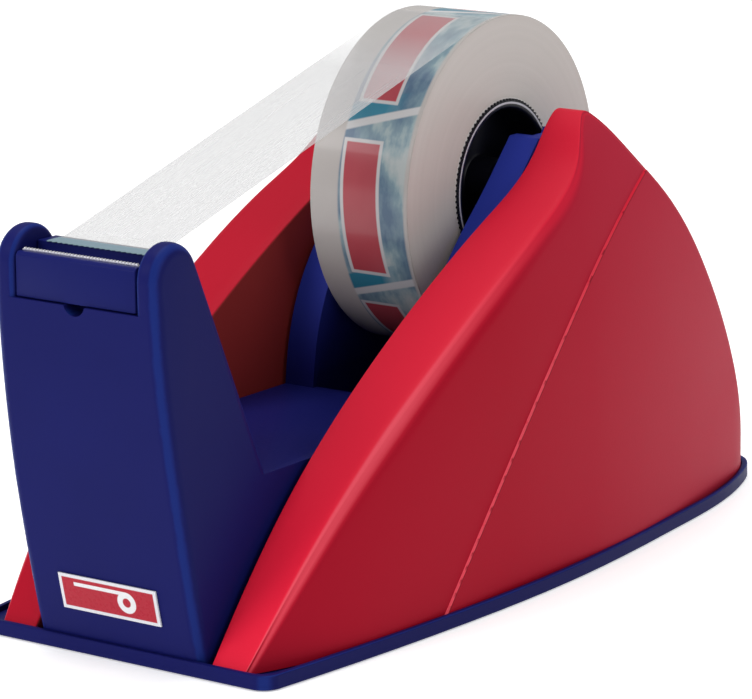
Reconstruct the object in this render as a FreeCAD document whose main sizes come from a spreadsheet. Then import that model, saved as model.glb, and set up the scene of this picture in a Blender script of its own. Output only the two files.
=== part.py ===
"""Desktop tape dispenser: weighted base, hollow tower with a cutter, two side fins and a tape roll.

Millimetres, +Z up.  X runs across the dispenser, Y along it with the cutter at -Y.
Every sub-part is drawn with Y measured from the front edge of the base and placed by the
same shift, which puts the origin at the bottom centre of the whole object.
"""
import FreeCAD, Part
import math
import os

import Sketcher

V = FreeCAD.Vector

DIMENSIONS = {
    # base
    "base_length": 154.0,
    "base_front": 1.3,
    "base_front_half": 28.5,
    "base_middle_half": 33.6,
    "base_corner": 3.2,
    "overhang": 7.2,
    "pad_thick": 0.5,
    "pad_inset": 2.2,
    "skirt_low": 0.15,
    "tray_top": 1.5,
    "rim_top": 2.4,
    "rim_wide": 0.8,
    "fin_gap": 0.3,
    # side fins
    "fin_bottom": 1.7,
    "fin_inner": 16.9,
    "fin_lean": 9.4,
    "fin_nose": 8.8,
    "fin_wall": 2.0,
    "fin_edge_radius": 2.0,
    "fin_step": 0.35,
    "crest_height": 72.6,
    "crest_place": 96.7,
    # centre body
    "body_half": 16.0,
    "body_top_half": 15.2,
    "body_wall": 2.2,
    "deck_height": 28.0,
    "ear_radius": 5.4,
    "ear_place": -1.8,
    "ear_height": 61.0,
    "ear_round": 1.1,
    "heel_place": 18.8,
    "tower_round": 2.0,
    "well_half": 10.4,
    "well_radius": 31.0,
    "well_floor": 21.0,
    "well_front": 67.0,
    # front label
    "badge_half": 9.3,
    "badge_low": 7.2,
    "badge_height": 5.8,
    # cutter
    "cutter_gap_half": 11.4,
    "cutter_half": 11.2,
    "cutter_floor": 56.2,
    "cutter_lift": 0.2,
    "panel_front": -6.7,
    "panel_top": 63.15,
    "platform_top": 64.0,
    "platform_front": -1.6,
    "platform_back": 2.6,
    "blade_thick": 0.4,
    "blade_tip": 63.6,
    "blade_pitch": 0.6,
    # roll of 19 mm tape, 33 m, on a 26 mm core
    "roll_place": 92.0,
    "roll_height": 60.0,
    "roll_radius": 27.7,
    "roll_half": 9.5,
    "core_outer": 14.2,
    "core_bore": 13.0,
    "wrap_thick": 0.15,
    "print_half": 9.4,
    "web_thick": 0.12,
    "web_gap": 0.15,
    # hub and axle
    "hub_radius": 12.9,
    "hub_lip": 14.0,
    "hub_lip_thick": 0.4,
    "hub_wall": 0.8,
    "hub_boss": 4.2,
    "axle_radius": 2.2,
    "axle_play": 0.05,
    "axle_half": 13.0,
    "rest_depth": 3.0,
    "rest_wall": 0.8,
    "rest_top": 66.0,
    "lift_angle": 40.0,
    # fasteners
    "screw_radius": 1.5,
    "screw_head": 2.6,
    "screw_head_thick": 0.85,
    "screw_length": 10.0,
    "boss_radius": 3.2,
    "boss_height": 15.0,
}

BODY_SCREWS = [(-11.0, 14.0), (11.0, 14.0), (-11.0, 136.0), (11.0, 136.0)]
FIN_SCREWS = [(21.2, 34.0), (21.2, 120.0)]

# Side view of a fin, as (y, z): its front edge up to the crest and its rear edge down from it.
FIN_FRONT = [(2.3, 1.7), (21.4, 22.9), (46.6, 41.9), (76.3, 58.1), (89.6, 66.3)]
FIN_REAR = [(106.5, 64.8), (117.1, 55.5), (129.8, 41.1), (138.7, 29.0), (147.7, 13.0), (152.0, 1.7)]
FIN_STEP_LINE = [(42.8, 1.5), (52.1, 13.3), (67.2, 30.0), (84.7, 45.5), (98.0, 54.6), (110.0, 60.8)]

doc = FreeCAD.newDocument("tape_dispenser")
sheet = doc.addObject("Spreadsheet::Sheet", "Sizes")
for row, (alias, number) in enumerate(DIMENSIONS.items(), start=1):
    sheet.set("A%d" % row, alias)
    sheet.set("B%d" % row, str(number))
    sheet.setAlias("B%d" % row, alias)
doc.recompute()

made = []


def size(alias):
    """A driving dimension, read back from the sheet."""
    return float(getattr(sheet, alias))


def register(part, name):
    """Name a finished sub-part and shift it so that the origin is at the object's centre."""
    part.Label = name
    part.setExpression("Placement.Base.y", "-(Sizes.base_length - Sizes.overhang) / 2")
    made.append(part)
    return part


# ---------------------------------------------------------------- shared drawing helpers

def new_body(name):
    """An empty PartDesign body, already named and placed."""
    body = doc.addObject("PartDesign::Body", name + "_body")
    return register(body, name)


def sketch_on(body, role, geometry, offset=None):
    """A sketch on one of the body's own origin planes, moved along its normal by a formula."""
    sketch = body.newObject("Sketcher::SketchObject", body.Label + "_sketch")
    plane = [f for f in body.Origin.OriginFeatures if f.Role == role][0]
    sketch.AttachmentSupport = [(plane, "")]
    sketch.MapMode = "FlatFace"
    if offset is not None:
        sketch.setExpression("AttachmentOffset.Base.z", offset)
    sketch.addGeometry(geometry, False)
    return sketch


def pad(body, sketch, length, reverse=False, both=False):
    """Grow a sketch into a solid; the length is a formula of sheet cells."""
    feature = body.newObject("PartDesign::Pad", body.Label + "_pad")
    feature.Profile = sketch
    feature.setExpression("Length", length)
    feature.Reversed = reverse
    feature.Midplane = both
    sketch.Visibility = False
    doc.recompute()
    return feature


def chamfer(body, wanted, width):
    """Break the edges of the body's last feature whose bounding boxes pass a test."""
    last = body.Tip
    names = ["Edge%d" % (i + 1) for i, e in enumerate(last.Shape.Edges) if wanted(e.BoundBox)]
    feature = body.newObject("PartDesign::Chamfer", body.Label + "_chamfer")
    feature.Base = (last, names)
    feature.Size = width
    doc.recompute()
    return feature


def polygon(points):
    """Closed chain of straight sketch lines."""
    ends = points[1:] + points[:1]
    return [Part.LineSegment(V(a[0], a[1], 0), V(b[0], b[1], 0)) for a, b in zip(points, ends)]


def box_outline(left, right, low, high):
    """Four sketch lines round a rectangle."""
    return polygon([(left, low), (right, low), (right, high), (left, high)])


def circle(x, y, radius):
    """A sketch circle."""
    return Part.Circle(V(x, y, 0), V(0, 0, 1), radius)


def spline(points, first=None, last=None):
    """A smooth curve through points, with end directions where they are given."""
    curve = Part.BSplineCurve()
    if first is None:
        curve.interpolate(points)
    else:
        curve.interpolate(Points=points, InitialTangent=first, FinalTangent=last)
    return curve


def side(y, z):
    """A point of the side view, in the plane x = 0."""
    return V(0, y, z)


def prism(edges, x_from, x_to):
    """Solid made by sweeping a side view outline across the object."""
    face = Part.Face(Part.Wire(Part.sortEdges(edges)[0]))
    face.translate(V(x_from, 0, 0))
    return face.extrude(V(x_to - x_from, 0, 0))


def side_polygon(points):
    """Edges of a straight-sided outline in the side view."""
    return Part.makePolygon([side(*p) for p in points] + [side(*points[0])]).Edges


def block(x_from, x_to, y_from, y_to, z_from, z_to):
    """A plain box between six planes."""
    return Part.makeBox(x_to - x_from, y_to - y_from, z_to - z_from, V(x_from, y_from, z_from))


def rod(axis, start, radius, length):
    """A cylinder that starts at a point and runs along an axis."""
    return Part.makeCylinder(radius, length, start, axis)


def feature(name, shape):
    """A sub-part whose shape is worked out with Part's own functions."""
    part = doc.addObject("Part::Feature", name + "_shape")
    part.Shape = shape
    return register(part, name)


# ---------------------------------------------------------------- base

def base_edges(inset):
    """Boat-shaped outline of the base, pulled in by an inset."""
    front = size("base_front") + inset
    back = size("base_length") - inset
    start = V(size("base_front_half") - inset, size("base_corner") + front, 0)
    middle = size("base_middle_half") - inset
    way = [start, V(middle - 1.0, 44, 0), V(middle, 80, 0), V(middle - 2.4, 114, 0),
           V(middle - 8.2, 145, 0), V(17 - inset, back, 0)]
    curve = spline(way, V(0.14, 1, 0), V(-1, 0, 0))
    radius = size("base_corner")
    corner_start = V(start.x - radius, front, 0)
    corner_middle = V(start.x - radius * 0.29, front + radius * 0.29, 0)
    corner = Part.Arc(corner_start, corner_middle, start)
    right = [corner.toShape(), curve.toShape()]
    left = [edge.mirror(V(0, 0, 0), V(1, 0, 0)) for edge in right]
    front_line = Part.makeLine(V(-corner_start.x, front, 0), corner_start)
    back_line = Part.makeLine(way[-1], V(-way[-1].x, back, 0))
    return Part.sortEdges(right + left + [front_line, back_line])[0]


def base_plate(inset, bottom, top):
    """The base outline as a flat plate between two heights."""
    plate = Part.Face(Part.Wire(base_edges(inset))).extrude(V(0, 0, top - bottom))
    plate.translate(V(0, 0, bottom))
    return plate


def screw_places():
    """All eight screws: four into the centre body and two into each fin."""
    fins = [(sign * x, y) for x, y in FIN_SCREWS for sign in (-1, 1)]
    return BODY_SCREWS + fins


def make_tray():
    """Blue base tray: a plate with a raised rim, a recess for the pad and countersunk screw holes."""
    low = size("pad_thick")
    high = size("tray_top")
    rim_top = size("rim_top")
    tray = base_plate(0.0, size("skirt_low"), rim_top)
    rounded = [e for e in tray.Edges if e.BoundBox.ZMin > rim_top - 0.01]
    tray = tray.makeFillet(0.3, rounded)
    tray = tray.cut(base_plate(size("rim_wide"), high, rim_top + 1.0))
    tray = tray.cut(base_plate(size("pad_inset") - 0.2, -1.0, low))
    for x, y in screw_places():
        hole = rod(V(0, 0, 1), V(x, y, low), size("screw_radius") + 0.15, high)
        wide = size("screw_head") + 0.1
        deep = size("screw_head_thick") + 0.05
        sink = Part.makeCone(wide, size("screw_radius") + 0.15, deep, V(x, y, low))
        tray = tray.cut(hole.fuse(sink))
    return feature("base_tray", tray)


def make_pad():
    """Soft anti-slip pad under the tray."""
    pad_shape = base_plate(size("pad_inset"), 0.0, size("pad_thick"))
    lowest = [e for e in pad_shape.Edges if e.BoundBox.ZMax < 0.01]
    return feature("anti_slip_pad", pad_shape.makeChamfer(0.2, lowest))


def screw_post(x, y):
    """Post moulded inside a hollow part, with a blind bore for a screw from below."""
    foot = size("fin_bottom")
    post = rod(V(0, 0, 1), V(x, y, foot), size("boss_radius"), size("boss_height"))
    bore = rod(V(0, 0, 1), V(x, y, foot - 1), size("screw_radius"), size("screw_length") + 1.0)
    return post.cut(bore)


# ---------------------------------------------------------------- side fins

def pulled_in(curve, points, inset):
    """Points of a side view curve moved inward, square to the curve."""
    moved = []
    for point in points:
        along = curve.tangent(curve.parameter(point))[0]
        moved.append(point + V(0, along.z, -along.y) * inset)
    return moved


def fin_profile(inset):
    """Side view of a fin: swooping front edge, small round crest and bowed rear edge."""
    y_top = size("crest_place")
    z_top = size("crest_height")
    tip = [side(y_top - 1.5, z_top - 0.45), side(y_top, z_top), side(y_top + 1.5, z_top - 0.45)]
    crest = Part.Arc(*tip)
    rise = crest.tangent(crest.FirstParameter)[0]
    fall = crest.tangent(crest.LastParameter)[0]
    start = V(0, 0.62, 0.78)
    end = V(0, 0.33, -0.94)
    front = [side(*p) for p in FIN_FRONT] + [tip[0]]
    rear = [tip[2]] + [side(*p) for p in FIN_REAR]
    if inset:
        front = pulled_in(spline(front, start, rise), front, inset)
        rear = pulled_in(spline(rear, fall, end), rear, inset)
        crest = Part.Arc(front[-1], side(y_top, z_top - inset), rear[0])
    low = -3.0
    under = Part.makePolygon([front[0], side(front[0].y, low), side(rear[-1].y, low), rear[-1]]).Edges
    front_edge = spline(front, start, rise).toShape()
    rear_edge = spline(rear, fall, end).toShape()
    return [front_edge, crest.toShape(), rear_edge] + under


def place_at(z, points):
    """Where a chain of (y, z) points stands at a height, carried on straight beyond its ends."""
    ordered = sorted(points, key=lambda p: p[1])
    index = 1
    while index < len(ordered) - 1 and ordered[index][1] < z:
        index += 1
    (y_low, z_low), (y_high, z_high) = ordered[index - 1], ordered[index]
    return y_low + (y_high - y_low) * (z - z_low) / (z_high - z_low)


def fin_half(y, z):
    """Distance of a fin's outer side from the middle plane.

    The side leans in faster and faster towards the crest, draws in round the nose,
    where it meets the front edge, and draws in again towards the tail.
    """
    foot = size("fin_bottom")
    share = (z - foot) / (size("crest_height") - foot)
    lean = size("fin_lean") * (0.08 * share + 0.92 * share ** 5)
    behind = y - place_at(z, FIN_FRONT)
    nose = size("fin_nose") * max(0.0, 1.0 - max(0.0, z - foot) / 56.0) ** 1.3 * math.exp(-behind / 17.0)
    tail = 2.2 * (max(0.0, y - 85.0) / 28.4) ** 1.7 + 3.0 * (max(0.0, y - 140.0) / 11.5) ** 3
    return size("base_middle_half") - size("rim_wide") - size("fin_gap") - lean - nose - tail


def fin_plan(inset, z):
    """Plan outline of a fin block at one height, a little longer than the fin is there."""
    start = place_at(z, FIN_FRONT) - 4.0
    end = min(place_at(z, FIN_REAR) + 4.0, 154.0)
    way = []
    for share in (0.0, 0.07, 0.16, 0.3, 0.5, 0.7, 0.85, 1.0):
        y = start + (end - start) * share
        way.append(V(fin_half(y, z) - inset, y, z))
    curve = spline(way).toShape()
    straight = Part.makePolygon([way[-1], V(0, end, z), V(0, start, z), way[0]]).Edges
    return Part.Wire(Part.sortEdges([curve] + straight)[0])


def fin_block(inset, bottom):
    """Block with a fin's bulging outer side, drawn through plans at several heights."""
    heights = (bottom, 20.0, 38.0, 54.0, 66.0, 75.0)
    return Part.makeLoft([fin_plan(inset, z) for z in heights], True, False)


def fin_solid(inset, bottom):
    """Fin block trimmed to the side view, with an inset for the hollow inside."""
    start = size("fin_inner") + inset
    return fin_block(inset, bottom).common(prism(fin_profile(inset), start, 60.0))


def crease_edges(fin):
    """The long outer crease of a fin: neither on its inner face nor along its foot."""
    inner = size("fin_inner")
    foot = size("fin_bottom")
    kept = []
    for edge in fin.Edges:
        box = edge.BoundBox
        along_inner = box.XMax < inner + 0.01
        along_foot = box.ZMax < foot + 0.01
        across = box.XMin < inner + 0.01 and box.YLength < 0.5 and box.ZLength < 0.5
        if not (along_inner or along_foot or across):
            kept.append(edge)
    return kept


def lower_front(fin):
    """Set the part of the side ahead of the slanting line a little below the part behind it."""
    line = [side(*p) for p in FIN_STEP_LINE]
    far = Part.makePolygon([line[-1], side(130.0, 90.0), side(-10.0, 90.0), side(-10.0, -1.0),
                            side(41.0, -1.0), line[0]]).Edges
    ahead = prism([spline(line).toShape()] + far, size("fin_inner") + 4.0, 60.0)
    skin = ahead.cut(fin_block(size("fin_step"), size("fin_bottom") - 1.0))
    return fin.cut(skin)


def make_fins():
    """Right fin as a hollow moulding, and the left one as its mirror image."""
    foot = size("fin_bottom")
    outer = fin_solid(0.0, foot)
    outer = outer.makeFillet(size("fin_edge_radius"), crease_edges(outer))
    outer = lower_front(outer)
    hollow = fin_solid(size("fin_wall"), foot - 1.0)
    fin = outer.cut(hollow)
    for x, y in FIN_SCREWS:
        fin = fin.fuse(screw_post(x, y))
    right = feature("right_fin", fin)
    mirror = doc.addObject("Part::Mirroring", "left_fin_mirror")
    plain = doc.addObject("Part::Feature", "right_fin_unplaced")
    plain.Shape = fin
    mirror.Source = plain
    mirror.Normal = V(1, 0, 0)
    register(mirror, "left_fin")
    return right


# ---------------------------------------------------------------- centre body

def tower_front():
    """Hollow-backed curve of the tower's front face, upright where it meets the ears."""
    top = side(size("ear_place") - size("ear_radius"), size("ear_height"))
    points = [side(2.2, size("fin_bottom")), side(-2.5, 22.0), side(-5.0, 36.0), side(-6.7, 50.0), top]
    return spline(points, V(0, -0.28, 1), V(0, 0, 1))


def body_profile():
    """Side view of the centre body: tower, deck, arms and the falling rear end."""
    y_ear = size("ear_place")
    z_ear = size("ear_height")
    radius = size("ear_radius")
    deck = size("deck_height")
    foot = size("fin_bottom")
    turn = math.radians(22.8)
    ear_back = side(y_ear + radius * math.cos(turn), z_ear + radius * math.sin(turn))
    ear_front = side(y_ear - radius, z_ear)
    ear = Part.Arc(ear_front, side(y_ear, z_ear + radius), ear_back)
    heel = side(size("heel_place"), deck)
    arm_foot = side(66.0, deck)
    arm_front = spline([arm_foot, side(67.8, 38.0), side(73.0, 48.2), side(83.9, 59.2), side(92.6, 68.0)],
                       V(0, 0.08, 1), V(0, 0.7, 0.72))
    back = spline([side(103.0, 68.0), side(113.0, 60.6), side(125.0, 50.2), side(135.6, 38.6),
                   side(143.4, 26.4), side(149.6, 8.0)], V(0, 0.86, -0.5), V(0, 0.26, -0.96))
    straight = [Part.makeLine(ear_back, heel), Part.makeLine(heel, arm_foot),
                Part.makeLine(side(92.6, 68.0), side(103.0, 68.0)),
                Part.makeLine(side(149.6, 8.0), side(150.6, foot)),
                Part.makeLine(side(150.6, foot), side(2.2, foot))]
    return [tower_front().toShape(), ear.toShape(), arm_front.toShape(), back.toShape()] + straight


def drafted(shape):
    """Trim a shape to the body's upright sides, which lean in only along the tower."""
    low = size("body_half")
    high = size("body_top_half")
    deck = size("deck_height")
    ends = [V(-low, -20, 0), V(low, -20, 0), V(low, -20, deck), V(high, -20, 70),
            V(-high, -20, 70), V(-low, -20, deck), V(-low, -20, 0)]
    wedge = Part.Face(Part.makePolygon(ends)).extrude(V(0, 60, 0))
    return shape.common(wedge.fuse(block(-low, low, 40, 200, 0, 100)))


def tower_edges(shape):
    """Long side edges of the tower, from its foot over the ear to the deck."""
    kept = []
    for edge in shape.Edges:
        box = edge.BoundBox
        at_side = box.XMin > 10 or box.XMax < -10
        if at_side and box.YMax < 20 and box.ZLength > 3:
            kept.append(edge)
    return kept


def inner_ear_rim(box):
    """True for the curved rim of an ear on the side of the cutter gap."""
    gap = size("cutter_gap_half")
    flat = box.XLength < 0.01 and abs(abs(box.XMin) - gap) < 0.01
    return flat and box.ZMax > size("cutter_floor") + 1.0 and box.ZLength > 2.0


def body_hollow():
    """Space inside the centre body, open at the bottom and closed under deck, well and cutter."""
    wall = size("body_wall")
    deck = size("deck_height") - wall
    floor = size("well_floor") - wall
    outline = [(4.2, 0.0), (4.0, 6.0), (0.4, 22.0), (-2.0, 36.0), (-3.6, 50.0), (-3.8, 51.0),
               (4.4, 51.0), (15.0, deck), (63.0, deck), (66.0, floor), (112.0, floor),
               (122.0, 31.0), (136.0, 33.0), (142.5, 22.0), (147.4, 6.0), (148.2, 0.0)]
    half = size("body_half") - wall - 0.3
    return prism(side_polygon(outline), -half, half)


def roll_well():
    """Room for the roll between the two arms."""
    half = size("well_half")
    y_roll = size("roll_place")
    z_roll = size("roll_height")
    round_part = rod(V(1, 0, 0), V(-half, y_roll, z_roll), size("well_radius"), 2 * half)
    pit = block(-half, half, size("well_front"), 108.0, size("well_floor"), 80.0)
    mouth = block(-half, half, 60.0, 108.0, size("deck_height"), 80.0)
    return round_part.fuse(pit).fuse(mouth)


def slot_tool(radius, x_from, x_to):
    """Round-bottomed slot that follows the lift direction up and out of an arm."""
    seat = V(x_from, size("roll_place"), size("roll_height"))
    width = x_to - x_from
    round_end = rod(V(1, 0, 0), seat, radius, width)
    channel = Part.makeBox(width, 2 * radius, 20.0, V(0, -radius, 0))
    channel.rotate(V(0, 0, 0), V(1, 0, 0), -size("lift_angle"))
    channel.translate(seat)
    return round_end.fuse(channel)


def make_body():
    """Centre body: one hollow blue moulding with tower, ears, deck and axle arms."""
    shape = drafted(prism(body_profile(), -20, 20))
    shape = shape.makeFillet(size("tower_round"), tower_edges(shape))
    shape = shape.cut(body_hollow())
    shape = shape.cut(roll_well())
    gap = size("cutter_gap_half")
    floor = size("cutter_floor")
    shape = shape.cut(block(-gap, gap, -20, 20, floor, 80))
    shape = shape.cut(rod(V(0, 1, 0), V(0, -20, floor + 0.5), 2.0, 16.0))
    inner_rims = [e for e in shape.Edges if inner_ear_rim(e.BoundBox)]
    shape = shape.makeFillet(size("ear_round"), inner_rims)
    slot = size("axle_radius") + size("axle_play") + size("rest_wall")
    reach = size("well_half") + size("rest_depth")
    for sign in (-1, 1):
        ends = sorted((sign * (size("well_half") - 1), sign * reach))
        shape = shape.cut(slot_tool(slot, ends[0], ends[1]))
    for x, y in BODY_SCREWS:
        shape = shape.fuse(screw_post(x, y))
    return feature("centre_body", shape)


def make_rests():
    """Two slippery liners pressed into the slots of the arms, in which the axle lies."""
    inner = size("axle_radius") + size("axle_play")
    outer = inner + size("rest_wall")
    for name, sign in (("left_axle_rest", -1), ("right_axle_rest", 1)):
        near = sign * (size("well_half") + 0.1)
        far = sign * (size("well_half") + size("rest_depth"))
        low, high = sorted((near, far))
        liner = slot_tool(outer, low, high).cut(slot_tool(inner, low - 1, high + 1))
        liner = liner.common(block(-20, 20, 80, 120, 50, size("rest_top")))
        feature(name, liner)


# ---------------------------------------------------------------- weights

def make_weights():
    """Iron weights: one under the deck, one in the rear and a bar in each fin."""
    places = {
        "front_weight": (-12.6, 12.6, 19.0, 61.0, 22.0),
        "rear_weight": (-12.6, 12.6, 68.0, 131.0, 17.6),
        "right_fin_weight": (19.2, 26.4, 44.0, 104.0, 22.0),
        "left_fin_weight": (-26.4, -19.2, 44.0, 104.0, 22.0),
    }
    for name, (left, right, front, back, top) in places.items():
        body = new_body(name)
        sketch = sketch_on(body, "XY_Plane", box_outline(left, right, front, back), "Sizes.tray_top")
        pad(body, sketch, "%.1f - Sizes.tray_top" % top)
        chamfer(body, lambda box: box.ZMin > top - 0.01, 1.0)


# ---------------------------------------------------------------- cutter

def make_carrier():
    """Cutter head that slides between the ears: front panel, blade groove and tape platform."""
    low = size("cutter_floor") + size("cutter_lift")
    front = size("panel_front")
    crown = size("panel_top")
    table = size("platform_top")
    outline = [(front, low), (front, crown - 0.5), (front + 0.5, crown), (front + 1.3, crown),
               (front + 1.3, low + 1.6), (front + 1.3 + size("blade_thick"), low + 1.6),
               (front + 1.3 + size("blade_thick"), 61.2), (size("platform_front"), 61.2),
               (size("platform_front"), table), (size("platform_back"), table),
               (size("platform_back") + 0.6, table - 0.6), (size("platform_back") + 0.6, low)]
    half = size("cutter_half")
    carrier = prism(side_polygon(outline), -half, half)
    window = block(-half + 1.6, half - 1.6, -2.4, size("platform_back") - 0.9, low + 1.5, table - 3.2)
    carrier = carrier.cut(window)
    return feature("cutter_head", carrier)


def make_blade():
    """Steel strip with a row of fine teeth along its upper edge, as wide as the tape."""
    body = new_body("cutter_blade")
    half = size("cutter_half") - 0.3
    low = size("cutter_floor") + size("cutter_lift") + 1.8
    tip = size("blade_tip")
    pitch = size("blade_pitch")
    teeth = int(2 * half / pitch)
    start = -teeth * pitch / 2
    edge = []
    for i in range(teeth):
        left = start + i * pitch
        edge.append((left, tip - 0.3))
        edge.append((left + pitch / 2, tip))
    edge.append((start + teeth * pitch, tip - 0.3))
    outline = edge + [(half, tip - 0.3), (half, low), (-half, low), (-half, tip - 0.3)]
    sketch = sketch_on(body, "XZ_Plane", polygon(outline), "-(Sizes.panel_front + 1.3)")
    pad(body, sketch, "Sizes.blade_thick", reverse=True)


def make_badge():
    """Small raised label on the tower's front, low down."""
    curve = tower_front()
    half = size("badge_half")
    low = size("badge_low")
    high = low + size("badge_height")
    corners = [V(-half, -20, low), V(half, -20, low), V(half, -20, high), V(-half, -20, high)]
    stamp = Part.Face(Part.makePolygon(corners + corners[:1])).extrude(V(0, 40, 0))
    face = curve.toShape().extrude(V(24, 0, 0))
    face.translate(V(-12, -0.35, 0))
    label = face.extrude(V(0, 0.3, 0)).common(stamp)
    feature("front_badge", label)


# ---------------------------------------------------------------- roll, hub and axle

def ring(name, outer, inner, half):
    """A plain ring round the roll's axis, padded both ways from the middle plane."""
    body = new_body(name)
    y_roll = size("roll_place")
    z_roll = size("roll_height")
    circles = [circle(y_roll, z_roll, size_of(outer)), circle(y_roll, z_roll, size_of(inner))]
    sketch = sketch_on(body, "YZ_Plane", circles)
    sketch.addConstraint(Sketcher.Constraint("Radius", 0, size_of(outer)))
    sketch.addConstraint(Sketcher.Constraint("Radius", 1, size_of(inner)))
    sketch.setExpression("Constraints[0]", outer)
    sketch.setExpression("Constraints[1]", inner)
    pad(body, sketch, "2 * " + half, both=True)
    return body


def size_of(formula):
    """Value of a short sum of sheet cells, such as Sizes.roll_radius - Sizes.wrap_thick."""
    total = 0.0
    sign = 1.0
    for word in formula.split():
        if word == "+":
            sign = 1.0
        elif word == "-":
            sign = -1.0
        elif word.startswith("Sizes."):
            total += sign * size(word[6:])
        else:
            total += sign * float(word)
    return total


def make_roll():
    """Core, wound tape and the two thin layers outside it."""
    ring("tape_core", "Sizes.core_outer", "Sizes.core_bore", "Sizes.roll_half")
    ring("tape_winding", "Sizes.roll_radius - Sizes.wrap_thick", "Sizes.core_outer", "Sizes.roll_half")
    ring("printed_wrap", "Sizes.roll_radius", "Sizes.roll_radius - Sizes.wrap_thick", "Sizes.print_half")


def hub_half(sign):
    """One half of the hub: ribbed drum, serrated lip, recessed disc with holes and a boss."""
    y_roll = size("roll_place")
    z_roll = size("roll_height")
    half = size("roll_half")
    centre = V(0, y_roll, z_roll)
    out = V(sign, 0, 0)
    radius = size("hub_radius")
    drum = rod(out, centre + out * 0.05, radius, half - 0.05)
    lip = rod(out, centre + out * half, size("hub_lip"), size("hub_lip_thick"))
    hub = drum.fuse(lip)
    hub = hub.cut(rod(out, centre + out * 4.5, radius - size("hub_wall"), 20))
    hub = hub.cut(rod(out, centre - out, radius - size("hub_wall"), 4.0))
    hub = hub.fuse(rod(out, centre + out * 0.05, size("hub_boss"), 9.0))
    for i in range(6):
        angle = math.radians(60 * i + 30)
        offset = V(0, 7.6 * math.cos(angle), 7.6 * math.sin(angle))
        hub = hub.cut(rod(out, centre + offset - out, 2.3, 12))
    teeth = 60
    notches = []
    for i in range(teeth):
        angle = 2 * math.pi * i / teeth
        offset = V(0, size("hub_lip") * math.cos(angle), size("hub_lip") * math.sin(angle))
        notches.append(rod(out, centre + offset + out * half, 0.3, 2))
    hub = hub.cut(notches)
    bore = size("axle_radius") + size("axle_play")
    return hub.cut(rod(V(1, 0, 0), V(-20, y_roll, z_roll), bore, 40))


def make_hub():
    """Two hub halves that meet at the middle plane and grip the core between their lips."""
    feature("right_hub_half", hub_half(1))
    feature("left_hub_half", hub_half(-1))


def make_axle():
    """Turned axle pin, thicker than its chamfered ends, lying in the two arms."""
    body = new_body("axle")
    y_roll = size("roll_place")
    z_roll = size("roll_height")
    sketch = sketch_on(body, "YZ_Plane", [circle(y_roll, z_roll, size("axle_radius"))])
    sketch.addConstraint(Sketcher.Constraint("Radius", 0, size("axle_radius")))
    sketch.setExpression("Constraints[0]", "Sizes.axle_radius")
    pad(body, sketch, "2 * Sizes.axle_half", both=True)
    chamfer(body, lambda box: box.XLength < 0.01, 0.4)


def make_washers():
    """Thin spacer washers that keep the hub clear of the arms."""
    for name, sign in (("left_spacer", -1), ("right_spacer", 1)):
        inner = size("axle_radius")
        centre = V(sign * 9.15, size("roll_place"), size("roll_height"))
        out = V(sign, 0, 0)
        washer = rod(out, centre, 3.6, 1.05).cut(rod(out, centre - out, inner, 4))
        feature(name, washer)


def make_web():
    """Film that leaves the roll on top, runs straight to the platform and ends at the blade."""
    thick = size("web_thick")
    gap = size("web_gap")
    y_roll = size("roll_place")
    z_roll = size("roll_height")
    radius = size("roll_radius") + gap
    rest = side(size("platform_back"), size("platform_top") + 0.02)
    away = side(y_roll, z_roll) - rest
    distance = math.hypot(away.y, away.z)
    climb = math.atan2(away.z, away.y) + math.asin(radius / distance)
    normal = V(0, -math.sin(climb), math.cos(climb))
    touch = side(y_roll, z_roll) + normal * radius
    turn = math.radians(10)
    back = climb - turn
    wrap_end = V(0, -math.sin(back), math.cos(back))
    wrap_mid = V(0, -math.sin(climb - turn / 2), math.cos(climb - turn / 2))
    centre = side(y_roll, z_roll)
    end = side(size("platform_front") - 0.6, rest.z)
    outer = radius + thick
    lift = V(0, 0, thick)
    edges = [
        Part.makeLine(end, rest),
        Part.makeLine(rest, touch),
        Part.Arc(touch, centre + wrap_mid * radius, centre + wrap_end * radius).toShape(),
        Part.makeLine(centre + wrap_end * radius, centre + wrap_end * outer),
        Part.Arc(centre + wrap_end * outer, centre + wrap_mid * outer, centre + normal * outer).toShape(),
        Part.makeLine(centre + normal * outer, rest + lift),
        Part.makeLine(rest + lift, end + lift),
        Part.makeLine(end + lift, end),
    ]
    half = size("roll_half")
    feature("tape_web", prism(edges, -half, half))


# ---------------------------------------------------------------- fasteners

def screw(x, y):
    """Countersunk screw that enters a post from below."""
    low = size("pad_thick") + 0.05
    head = Part.makeCone(size("screw_head"), size("screw_radius"), size("screw_head_thick"), V(x, y, low))
    shank = rod(V(0, 0, 1), V(x, y, low), size("screw_radius"), size("screw_length"))
    drive = block(x - 1.4, x + 1.4, y - 0.25, y + 0.25, low - 0.1, low + 0.5)
    drive = drive.fuse(block(x - 0.25, x + 0.25, y - 1.4, y + 1.4, low - 0.1, low + 0.5))
    return head.fuse(shank).cut(drive)


def make_screws():
    """Two groups of four equal screws: one for the centre body and one for the fins."""
    feature("body_screws", Part.makeCompound([screw(x, y) for x, y in BODY_SCREWS]))
    fins = [(sign * x, y) for x, y in FIN_SCREWS for sign in (-1, 1)]
    feature("fin_screws", Part.makeCompound([screw(x, y) for x, y in fins]))


def check_all():
    """Stop if any object failed or any sub-part has no valid solid."""
    doc.recompute()
    for item in doc.Objects:
        if "Invalid" in item.State or "Error" in item.State:
            raise RuntimeError("%s failed: %s" % (item.Label, item.State))
    for part in made:
        if part.Shape.isNull() or not part.Shape.isValid() or not part.Shape.Solids:
            raise RuntimeError("%s has no valid solid" % part.Label)


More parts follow.
